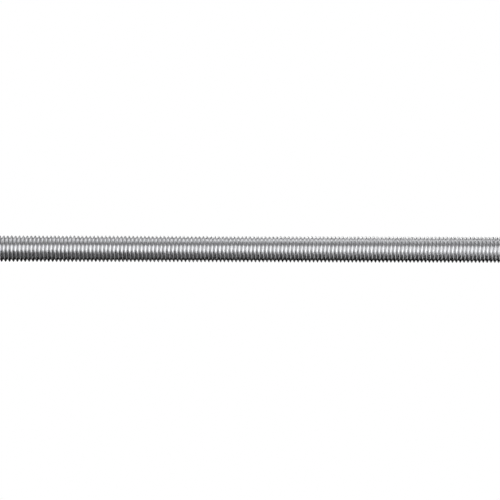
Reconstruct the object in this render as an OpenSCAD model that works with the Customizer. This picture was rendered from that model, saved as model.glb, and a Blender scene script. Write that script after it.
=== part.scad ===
// Threaded rod of zinc-plated steel, with a right-hand metric thread over its whole length.
// The rod lies along X, and the middle of its axis is the origin.

/* [Rod] */
// Length of the rod, from one end face to the other
rod_length = 250; // [60:1:320]

/* [Thread] */
// Nominal diameter of the thread, across its crests
thread_diameter = 12; // [8:0.5:16]
// Distance along the rod from one crest to the next
thread_pitch = 1.75; // [1.25:0.05:2]
// How far the surface stays inside the nominal thread, so that a nut runs on freely
thread_allowance = 0.07; // [0:0.01:0.15]

/* [Ends] */
// How far the rim of each end face stays inside the root of the thread
end_face_inset = 0.25; // [0.1:0.05:1]
// Angle between each end's chamfer and the axis of the rod
chamfer_angle = 45; // [30:1:60]

/* [Hidden] */

// A 60 degree thread is cut from a row of sharp ridges of this height
sharp_height = thread_pitch * cos(30);
// A rounded root takes 17 of the 24 parts of that height
thread_depth = sharp_height * 17 / 24;
crest_radius = thread_diameter / 2 - thread_allowance;
root_radius = crest_radius - thread_depth;

end_radius = root_radius - end_face_inset;
// The blank is wider than the crests, so that only its chamfers and end faces cut the thread
blank_radius = crest_radius + thread_depth;
chamfer_length = (blank_radius - end_radius) / tan(chamfer_angle);
blank_facets = 96;

// The thread starts and stops past the end faces by this share of a pitch, beside one whole turn
overrun = 0.1;
thread_start = -rod_length / 2 - (1 + overrun) * thread_pitch;
turns = ceil(rod_length / thread_pitch + 1 + 2 * overrun);

// Each step round a turn has two flanks of two triangles each. A turn has as many steps as the
// facets allow, in whole quarters, so that the rod is equally wide across both ways
facet_budget = 11700;
facets_per_step = 4;
quarter_steps = min(8, floor(facet_budget / (4 * facets_per_step * turns)));
steps = 4 * quarter_steps;

// Along each column of points a crest and a root take turns, from rank 0 to the last rank
last_rank = 2 * turns;

// The first column runs one turn further, because the last column closes onto it a pitch on
function radius_at(rank) = rank % 2 == 0 ? crest_radius : root_radius;
function thread_point(step, rank) =
    let (angle = 360 * step / steps)
    let (along = thread_start + thread_pitch * (rank / 2 + step / steps))
    [along, radius_at(rank) * cos(angle), radius_at(rank) * sin(angle)];
function column(step) = [for (rank = [0 : last_rank + (step == 0 ? 2 : 0)]) thread_point(step, rank)];
function place(step, rank) =
    step == 0 ? rank :
    step == steps ? rank + 2 :
    step * (last_rank + 1) + 2 + rank;

// A flank's quad is split from its crest to the root one step on
function flank(step, rank) =
    let (near = place(step, rank), next = place(step, rank + 1))
    let (near_on = place(step + 1, rank), next_on = place(step + 1, rank + 1))
    rank % 2 == 0
        ? [[near, next, next_on], [near, next_on, near_on]]
        : [[near, next, near_on], [next, next_on, near_on]];

// The rim of an end goes once round and steps back along the first column
function rim(rank) = [
    for (step = [0 : steps]) place(step, rank),
    place(0, rank + 1)
];
function cap(centre, rim_places) = [
    for (i = [0 : len(rim_places) - 1])
        [centre, rim_places[i], rim_places[(i + 1) % len(rim_places)]]
];
function reversed(faces) = [for (face = faces) [face[0], face[2], face[1]]];

// The helix, as one closed skin of crests, roots and flanks
module thread() {
    columns = [for (step = [0 : steps - 1]) each column(step)];
    start_centre = [thread_start, 0, 0];
    stop_centre = [thread_start + thread_pitch * (turns + 1), 0, 0];
    polyhedron(
        points = concat(columns, [start_centre, stop_centre]),
        faces = concat(
            [for (step = [0 : steps - 1], rank = [0 : last_rank - 1]) each flank(step, rank)],
            cap(len(columns), rim(0)),
            reversed(cap(len(columns) + 1, rim(last_rank)))
        )
    );
}

// The round blank with square end faces and a chamfer at each end
module blank() {
    rotate([0, 90, 0])
        rotate_extrude($fn = blank_facets)
            polygon([
                [0, -rod_length / 2],
                [end_radius, -rod_length / 2],
                [blank_radius, -rod_length / 2 + chamfer_length],
                [blank_radius, rod_length / 2 - chamfer_length],
                [end_radius, rod_length / 2],
                [0, rod_length / 2]
            ]);
}

module threaded_rod() {
    color("silver")
        intersection() {
            thread();
            blank();
        }
}

threaded_rod();
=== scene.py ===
"""Dresses the threaded rod with its rolled thread and zinc plating, in a white studio with a camera."""
import math

import bpy
from mathutils import Matrix, Vector


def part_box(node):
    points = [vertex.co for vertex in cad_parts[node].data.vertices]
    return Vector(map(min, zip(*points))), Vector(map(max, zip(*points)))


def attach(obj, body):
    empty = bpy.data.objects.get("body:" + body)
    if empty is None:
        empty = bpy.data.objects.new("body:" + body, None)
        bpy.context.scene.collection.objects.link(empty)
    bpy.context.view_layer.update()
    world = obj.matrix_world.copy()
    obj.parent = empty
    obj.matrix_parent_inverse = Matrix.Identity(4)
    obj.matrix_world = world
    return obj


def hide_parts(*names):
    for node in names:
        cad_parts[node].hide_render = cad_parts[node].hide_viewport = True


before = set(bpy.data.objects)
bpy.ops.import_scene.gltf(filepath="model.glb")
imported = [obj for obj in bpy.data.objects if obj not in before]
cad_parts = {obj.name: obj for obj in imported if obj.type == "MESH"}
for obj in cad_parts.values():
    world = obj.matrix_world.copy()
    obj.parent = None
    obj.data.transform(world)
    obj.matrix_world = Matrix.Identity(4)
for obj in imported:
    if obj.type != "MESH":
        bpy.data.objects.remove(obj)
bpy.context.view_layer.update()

NODE = "threaded_rod"

# The rod, from the frame
rod_low, rod_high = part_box(NODE)
LENGTH = rod_high[0] - rod_low[0]
CREST_RADIUS = (rod_high[2] - rod_low[2]) / 2

# The thread: a metric one, with the flat crests and the round roots that rolling gives
PITCH = 0.00175
FLANK_ANGLE = math.radians(30)
SHARP_HEIGHT = PITCH * math.cos(FLANK_ANGLE)
THREAD_DEPTH = SHARP_HEIGHT * 17 / 24
ROOT_RADIUS = CREST_RADIUS - THREAD_DEPTH
CREST_FLAT = PITCH / 8
FLANK_RUN = THREAD_DEPTH * math.tan(FLANK_ANGLE)
ROOT_FLAT = PITCH - CREST_FLAT - 2 * FLANK_RUN
CREST_ROUNDING = 0.00010
ROOT_ROUNDING = 0.000145
CREST_ROUND_STEPS = 2
ROOT_ROUND_STEPS = 3
STEPS_A_TURN = 48

# The thread is swept past both end faces, and its crest crosses the +Y side at its start
OVERRUN = 1.1 * PITCH
SPARE_TURNS = 2
THREAD_START = rod_low[0] - OVERRUN
TURNS = math.ceil((LENGTH + OVERRUN) / PITCH) + SPARE_TURNS

# The ends: a flat disc inside the root, and a 45 degree chamfer
END_MARGIN = 0.00025
END_RADIUS = ROOT_RADIUS - END_MARGIN
BLANK_RADIUS = CREST_RADIUS + THREAD_DEPTH
CHAMFER = BLANK_RADIUS - END_RADIUS
BLANK_FACETS = 96

# How the thread is made solid: cut square past the end faces, welded and shaded smooth
OVERHANG = 0.4 * PITCH
CUT_TOLERANCE = 0.0000001
WELD = 0.000005
SMOOTH_ANGLE = math.radians(32)

# The camera, from the photograph: its focal length in pixels of the 500 pixel frame, its yaw, roll and aim
IMAGE_PIXELS = 500
FOCAL_PIXELS = 2233
SENSOR_MM = 36
METRES_A_PIXEL = 0.00045
CAMERA_DISTANCE = FOCAL_PIXELS * METRES_A_PIXEL
CAMERA_YAW = math.radians(3.35)
CAMERA_ROLL = math.radians(0.17)
AIM = Vector((-0.0004, 0, -0.8 * METRES_A_PIXEL))

# The plating: burnished flanks and crests, and duller roots; the roots' darker colour is partly duller
# plating and partly painted shade in the thread's recesses
BURNISHED_AND_UNSHADED_FROM = 0.5
# Root colour: partly duller plating, partly painted shade for the thread's recesses
DULL_AND_SHADED_ROOT_ZINC = (0.60, 0.602, 0.615, 1)
CREST_ZINC = (0.796, 0.80, 0.814, 1)
ROOT_ROUGHNESS = 0.35
CREST_ROUGHNESS = 0.20

# How far its tone and gloss vary, and the share of that which blotches make and streaks don't
TONE_RANGE = 0.22
TONE_FROM_BLOTCHES = 0.5
GLOSS_RANGE = 0.12
GLOSS_FROM_BLOTCHES = 0.6
NOISE_MIDDLE = 0.5

# The marks: their length along the rod, their width across it and the detail of their noise
TURN_WAVE = (0.0016, 0.007, 1.0)
STREAK = (0.00009, 0.0025, 2.0)
BLOTCH = (0.004, 0.004, 3.0)
GRAIN = (0.00006, 0.00006, 2.0)
TURN_WAVE_DEPTH = 0.00009
STREAK_DEPTH = 0.0000025
GRAIN_DEPTH = 0.0000012

# The sawn end faces, and the saw's marks on them
CUT_ZINC = (0.70, 0.705, 0.72, 1)
CUT_ROUGHNESS = 0.42
SAW_SPACING = 0.00035
SAW_WANDER = 1.5
SAW_DETAIL = 2.0
SAW_DEPTH = 0.00001
SAW_SHADE = 0.25
WAVE_AT_SCALE_ONE = math.tau / 20
END_SKIN = 0.00003

# The background, and the floor that fades into it between two distances from the rod
WHITE = (1, 1, 1, 1)
WHITE_STRENGTH = 1.0
FILL_STRENGTH = 0.85
FLOOR_SIZE = 6
FLOOR_DROP = 0.6
FLOOR_PAPER = (0.9, 0.9, 0.9, 1)
FADE_START = 0.35
FADE_END = 1.1

# The soft lamp
LAMP_WIDTH = 2.4
LAMP_HEIGHT = 1.6
LAMP_PLACE = Vector((0, -1.2, 0.9))
LAMP_RADIANCE = 1.2

# Cards: name; lift, side, half width, half height and roll in degrees; distance in metres; brightness
CARDS = (
    # A search program found the values of these seven, by scoring tries against the photograph
    ("front_reflector", -45, 70, 45, 50, 15, 1.1, 2.4),
    ("back_reflector", 150, 25, 45, 70, 0, 1.0, 2.4),
    ("floor_flag", -130, 30, 70, 70, 15, 0.3, 0),
    ("overhead_canopy", 100, 5, 70, 65, 0, 0.65, 0.2),
    ("overhead_strip", 95, -5, 15, 30, -15, 0.4, 1.6),
    ("lower_flag", -70, -25, 60, 25, -45, 0.6, 0),
    ("lower_strip", -60, -5, 20, 55, 0, 0.3, 0.2),
    # These two, and the brightness of the strip above, were picked from short lists by the same score
    ("low_right_reflector", -80, 60, 12, 20, 0, 0.3, 1.5),
    ("rear_reflector", -170, 30, 20, 15, 0, 0.25, 0.5),
)


def make_camera():
    data = bpy.data.cameras.new("camera")
    data.sensor_width = SENSOR_MM
    data.lens = SENSOR_MM * FOCAL_PIXELS / IMAGE_PIXELS
    camera = bpy.data.objects.new("camera", data)
    bpy.context.scene.collection.objects.link(camera)
    ahead = Vector((math.sin(CAMERA_YAW), math.cos(CAMERA_YAW), 0))
    level = ahead.to_track_quat("-Z", "Y").to_matrix()
    rolled = Matrix.Rotation(-CAMERA_ROLL, 3, ahead) @ level
    camera.rotation_mode = "QUATERNION"
    camera.rotation_quaternion = rolled.to_quaternion()
    camera.location = AIM - ahead * CAMERA_DISTANCE
    bpy.context.scene.camera = camera


def deselect_all():
    bpy.ops.object.select_all(action="DESELECT")


def choose(piece):
    deselect_all()
    piece.select_set(True)
    bpy.context.view_layer.objects.active = piece


def apply_modifier(piece, kind, **settings):
    choose(piece)
    modifier = piece.modifiers.new(kind.lower(), kind)
    for name, value in settings.items():
        setattr(modifier, name, value)
    bpy.ops.object.modifier_apply(modifier=modifier.name)


def edit_all(piece, operator, **settings):
    """Runs one edit-mode operator on the whole piece."""
    choose(piece)
    bpy.ops.object.mode_set(mode="EDIT")
    bpy.ops.mesh.select_all(action="SELECT")
    operator(**settings)
    bpy.ops.object.mode_set(mode="OBJECT")


def draw_line(start, runs):
    """An open line beside the axis, drawn from a start by runs along the axis and away from it."""
    deselect_all()
    bpy.ops.mesh.primitive_plane_add(size=PITCH, location=(0, 0, 0))
    line = bpy.context.object
    bpy.ops.object.mode_set(mode="EDIT")
    bpy.ops.mesh.select_mode(type="VERT")
    bpy.ops.mesh.merge(type="CENTER")
    bpy.ops.transform.translate(value=(start[0], start[1], 0))
    for along, out in runs:
        bpy.ops.mesh.extrude_vertices_move(TRANSFORM_OT_translate={"value": (along, out, 0)})
    bpy.ops.object.mode_set(mode="OBJECT")
    return line


def round_corners(line, radius, offset, steps):
    """Bevels the line's corners at that distance from the axis, and leaves its two loose ends."""
    choose(line)
    first = min(vertex.co.x for vertex in line.data.vertices)
    last = max(vertex.co.x for vertex in line.data.vertices)
    bpy.ops.object.mode_set(mode="EDIT")
    bpy.ops.mesh.select_all(action="DESELECT")
    bpy.ops.object.mode_set(mode="OBJECT")
    for vertex in line.data.vertices:
        inner = first + WELD < vertex.co.x < last - WELD
        vertex.select = inner and abs(vertex.co.y - radius) < WELD
    bpy.ops.object.mode_set(mode="EDIT")
    bpy.ops.mesh.bevel(offset=offset, segments=steps, affect="VERTICES", clamp_overlap=True)
    bpy.ops.object.mode_set(mode="OBJECT")


def sweep(line, steps, turns, rise):
    """Turns the line round the axis, with that rise along it in each turn, and welds its seams."""
    apply_modifier(
        line, "SCREW", axis="X", angle=math.tau, screw_offset=rise, iterations=turns,
        steps=steps, render_steps=steps, use_merge_vertices=False,
    )
    edit_all(line, bpy.ops.mesh.remove_doubles, threshold=WELD)


def make_blank():
    """The round blank: square end faces and a chamfer at each end, wider than the crests between them."""
    blank = draw_line((rod_low[0], 0), (
        (0, END_RADIUS),
        (CHAMFER, CHAMFER),
        (LENGTH - 2 * CHAMFER, 0),
        (CHAMFER, -CHAMFER),
        (0, -END_RADIUS),
    ))
    sweep(blank, BLANK_FACETS, 1, 0)
    edit_all(blank, bpy.ops.mesh.normals_make_consistent, inside=False)
    return blank


def make_rod():
    """The thread swept from one pitch of its outline, root to root, and cut by the blank."""
    rod = draw_line((THREAD_START - PITCH / 2, ROOT_RADIUS), (
        (ROOT_FLAT / 2, 0),
        (FLANK_RUN, THREAD_DEPTH),
        (CREST_FLAT, 0),
        (FLANK_RUN, -THREAD_DEPTH),
        (ROOT_FLAT / 2, 0),
    ))
    rod.name = "rolled_rod"
    round_corners(rod, CREST_RADIUS, CREST_ROUNDING, CREST_ROUND_STEPS)
    round_corners(rod, ROOT_RADIUS, ROOT_ROUNDING, ROOT_ROUND_STEPS)
    sweep(rod, STEPS_A_TURN, TURNS, PITCH)
    for x, outward in ((rod_low[0] - OVERHANG, -1), (rod_high[0] + OVERHANG, 1)):
        edit_all(
            rod, bpy.ops.mesh.bisect, plane_co=(x, 0, 0), plane_no=(outward, 0, 0),
            use_fill=True, clear_outer=True, threshold=CUT_TOLERANCE,
        )
    edit_all(rod, bpy.ops.mesh.normals_make_consistent, inside=False)
    blank = make_blank()
    apply_modifier(rod, "BOOLEAN", operation="INTERSECT", object=blank, solver="MANIFOLD")
    bpy.data.objects.remove(blank)
    choose(rod)
    bpy.ops.object.shade_smooth_by_angle(angle=SMOOTH_ANGLE)
    return rod


class Wire:
    """One output of a node. Sums, products and the like with numbers or other wires add Math nodes."""

    def __init__(self, tree, socket):
        self.tree = tree
        self.socket = socket

    def out(self, name):
        return Wire(self.tree, self.socket.node.outputs[name])

    def maths(self, operation, first, second):
        return self.tree.add("ShaderNodeMath", {"operation": operation}, {0: first, 1: second})

    def __add__(self, other):
        return self.maths("ADD", self, other)

    def __radd__(self, other):
        return self.maths("ADD", other, self)

    def __sub__(self, other):
        return self.maths("SUBTRACT", self, other)

    def __rsub__(self, other):
        return self.maths("SUBTRACT", other, self)

    def __mul__(self, other):
        return self.maths("MULTIPLY", self, other)

    def __rmul__(self, other):
        return self.maths("MULTIPLY", other, self)

    def at_most(self, other):
        return self.maths("MINIMUM", self, other)


class Tree:
    """The nodes of a material or of the world, emptied and then filled one by one."""

    def __init__(self, owner):
        owner.use_nodes = True
        self.nodes = owner.node_tree.nodes
        self.links = owner.node_tree.links
        self.nodes.clear()

    def add(self, kind, settings=None, sockets=None):
        """Adds a node, with its settings made before its sockets, and returns its first output."""
        node = self.nodes.new(kind)
        for name, value in (settings or {}).items():
            setattr(node, name, value)
        for name, value in (sockets or {}).items():
            if isinstance(value, Wire):
                self.links.new(value.socket, node.inputs[name])
            else:
                node.inputs[name].default_value = value
        return Wire(self, node.outputs[0]) if node.outputs else None

    def mix(self, share, first, second):
        """Mixes two colours, which are a Mix node's sockets 6 and 7 and its output 2."""
        mixed = self.add("ShaderNodeMix", {"data_type": "RGBA"}, {0: share, 6: first, 7: second})
        return mixed.out(2)

    def tint(self, colour, tone):
        """Makes a colour lighter or darker by a number."""
        return self.add("ShaderNodeVectorMath", {"operation": "SCALE"}, {0: colour, "Scale": tone})


def blend(share, first, second):
    """That share of the first number and the rest of the second."""
    return share * first + (1 - share) * second


def marks(tree, place, along, across, detail):
    """Noise from 0 to 1 whose marks have that length along the rod and that width across it."""
    size = (along, across, across)
    scaled = tree.add("ShaderNodeVectorMath", {"operation": "DIVIDE"}, {0: place, 1: size})
    return tree.add("ShaderNodeTexNoise", {}, {"Vector": scaled, "Scale": 1.0, "Detail": detail})


def saw_marks(tree, place):
    """Bands from 0 to 1 that lie level and wander a little, as a saw leaves them."""
    bands = tree.add("ShaderNodeTexWave", {"bands_direction": "Z"}, {
        "Vector": place, "Scale": WAVE_AT_SCALE_ONE / SAW_SPACING,
        "Distortion": SAW_WANDER, "Detail": SAW_DETAIL,
    })
    return tree.add("ShaderNodeSeparateColor", {}, {"Color": bands})


def end_faces(tree, place):
    """1 on the two end faces of the rod and 0 elsewhere."""
    sizes = tree.add("ShaderNodeVectorMath", {"operation": "ABSOLUTE"}, {0: place})
    along = tree.add("ShaderNodeSeparateXYZ", {}, {"Vector": sizes})
    return tree.add("ShaderNodeMapRange", {}, {
        "Value": along, "From Min": LENGTH / 2 - END_SKIN, "From Max": LENGTH / 2 - END_SKIN / 2,
    })


def burnish_and_root_shade(tree, place):
    """0 in the roots, rising to 1 where the flanks and crests are burnished. It sets the rougher roots,
    and the darker root colour that is partly painted shade.
    """
    across = tree.add("ShaderNodeVectorMath", {"operation": "MULTIPLY"}, {0: place, 1: (0, 1, 1)})
    from_axis = tree.add("ShaderNodeVectorMath", {"operation": "LENGTH"}, {0: across}).out("Value")
    return tree.add("ShaderNodeMapRange", {"interpolation_type": "SMOOTHSTEP"}, {
        "Value": from_axis,
        "From Min": ROOT_RADIUS, "From Max": ROOT_RADIUS + BURNISHED_AND_UNSHADED_FROM * THREAD_DEPTH,
    })


def zinc_plating():
    """Bright zinc on rolled steel, with rolled streaks, roots darkened partly by duller plating and partly
    by painted shade, and a duller cut at the ends.
    """
    material = bpy.data.materials.new("zinc_plating")
    tree = Tree(material)
    place = tree.add("ShaderNodeTexCoord").out("Object")
    burnish_and_shade_mask = burnish_and_root_shade(tree, place)
    cut = end_faces(tree, place)
    turn_wave = marks(tree, place, *TURN_WAVE)
    streak = marks(tree, place, *STREAK)
    blotch = marks(tree, place, *BLOTCH)
    grain = marks(tree, place, *GRAIN)
    sawn = saw_marks(tree, place) * cut

    darker = TONE_RANGE * (blend(TONE_FROM_BLOTCHES, blotch, streak) - NOISE_MIDDLE)
    # Painted shade: the roots get a darker colour than the crests, on top of their duller plating
    zinc_with_painted_root_shade = tree.mix(burnish_and_shade_mask, DULL_AND_SHADED_ROOT_ZINC, CREST_ZINC)
    zinc = tree.tint(tree.mix(cut, zinc_with_painted_root_shade, CUT_ZINC), 1 - darker - SAW_SHADE * sawn)

    duller = GLOSS_RANGE * (blend(GLOSS_FROM_BLOTCHES, blotch, streak) - NOISE_MIDDLE)
    rolled_roughness = blend(burnish_and_shade_mask, CREST_ROUGHNESS, ROOT_ROUGHNESS)
    roughness = blend(cut, CUT_ROUGHNESS, rolled_roughness) + duller

    rolled_height = TURN_WAVE_DEPTH * turn_wave + STREAK_DEPTH * streak + GRAIN_DEPTH * grain
    height = rolled_height + SAW_DEPTH * sawn
    normal = tree.add("ShaderNodeBump", {}, {"Height": height, "Distance": 1.0})
    shader = tree.add("ShaderNodeBsdfPrincipled", {}, {
        "Base Color": zinc, "Metallic": 1.0, "Roughness": roughness, "Normal": normal,
    })
    tree.add("ShaderNodeOutputMaterial", {}, {"Surface": shader})
    return material


def background_rays(tree):
    """1 for the rays that should see the white background: the camera's, and those that metal reflects."""
    rays = tree.add("ShaderNodeLightPath")
    seen = rays + rays.out("Is Glossy Ray") + rays.out("Is Transmission Ray")
    return seen.at_most(1)


def make_world():
    world = bpy.data.worlds.new("studio")
    bpy.context.scene.world = world
    tree = Tree(world)
    seen = background_rays(tree)
    fill = tree.add("ShaderNodeBackground", {}, {"Color": WHITE, "Strength": FILL_STRENGTH})
    white = tree.add("ShaderNodeBackground", {}, {"Color": WHITE, "Strength": WHITE_STRENGTH})
    shader = tree.add("ShaderNodeMixShader", {}, {0: seen, 1: fill, 2: white})
    tree.add("ShaderNodeOutputWorld", {}, {"Surface": shader})


def make_floor():
    """A pale floor that fades into the white background round the rod's shadow."""
    deselect_all()
    bpy.ops.mesh.primitive_plane_add(size=FLOOR_SIZE, location=(0, 0, -FLOOR_DROP))
    floor = bpy.context.object
    floor.name = "floor"
    material = bpy.data.materials.new("floor_paper")
    tree = Tree(material)
    place = tree.add("ShaderNodeTexCoord").out("Object")
    far = tree.add("ShaderNodeVectorMath", {"operation": "LENGTH"}, {0: place}).out("Value")
    fade = tree.add("ShaderNodeMapRange", {"interpolation_type": "SMOOTHSTEP"}, {
        "Value": far, "From Min": FADE_START, "From Max": FADE_END,
    })
    white_share = fade * background_rays(tree)
    paper = tree.add("ShaderNodeBsdfDiffuse", {}, {"Color": FLOOR_PAPER})
    white = tree.add("ShaderNodeEmission", {}, {"Color": WHITE, "Strength": WHITE_STRENGTH})
    shader = tree.add("ShaderNodeMixShader", {}, {0: white_share, 1: paper, 2: white})
    tree.add("ShaderNodeOutputMaterial", {}, {"Surface": shader})
    floor.data.materials.append(material)


def make_card(name, lift, side, half_width, half_height, roll, distance, brightness):
    """A flat card that faces the rod and shows only in the metal: dark as a flag, bright as a reflector.

    Its middle lies up by the angle lift, round the rod from the camera's side, and towards +X by side.
    """
    lift, side, roll = math.radians(lift), math.radians(side), math.radians(roll)
    away = Vector((math.sin(side), -math.cos(side) * math.cos(lift), math.cos(side) * math.sin(lift)))
    along = Vector((math.cos(side), math.sin(side) * math.cos(lift), -math.sin(side) * math.sin(lift)))
    up = away.cross(along)
    across = math.cos(roll) * along + math.sin(roll) * up
    rise = math.cos(roll) * up - math.sin(roll) * along
    across *= math.tan(math.radians(half_width))
    rise *= math.tan(math.radians(half_height))
    deselect_all()
    bpy.ops.mesh.primitive_plane_add(size=2 * distance)
    card = bpy.context.object
    card.name = name
    turned = Matrix((across, rise, -away)).transposed().to_4x4()
    card.matrix_world = Matrix.Translation(distance * away) @ turned
    material = bpy.data.materials.new(name)
    tree = Tree(material)
    shader = tree.add("ShaderNodeEmission", {}, {"Color": WHITE, "Strength": brightness})
    tree.add("ShaderNodeOutputMaterial", {}, {"Surface": shader})
    card.data.materials.append(material)
    card.visible_camera = False
    card.visible_diffuse = False
    card.visible_shadow = False


def make_softbox():
    """A soft lamp that faces the rod. The metal shows the cards instead of it."""
    data = bpy.data.lights.new("front_softbox", "AREA")
    data.shape = "RECTANGLE"
    data.size = LAMP_WIDTH
    data.size_y = LAMP_HEIGHT
    data.energy = LAMP_RADIANCE * math.pi * LAMP_WIDTH * LAMP_HEIGHT
    lamp = bpy.data.objects.new("front_softbox", data)
    bpy.context.scene.collection.objects.link(lamp)
    facing = (-LAMP_PLACE).to_track_quat("-Z", "Y")
    lamp.matrix_world = Matrix.Translation(LAMP_PLACE) @ facing.to_matrix().to_4x4()
    lamp.visible_camera = False
    lamp.visible_glossy = False


def make_studio():
    make_world()
    make_floor()
    make_softbox()
    for card in CARDS:
        make_card(*card)


bpy.context.scene.view_settings.view_transform = "Standard"
make_camera()
rod = make_rod()
rod.data.materials.clear()
rod.data.materials.append(zinc_plating())
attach(rod, "root")
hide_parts(NODE)
make_studio()
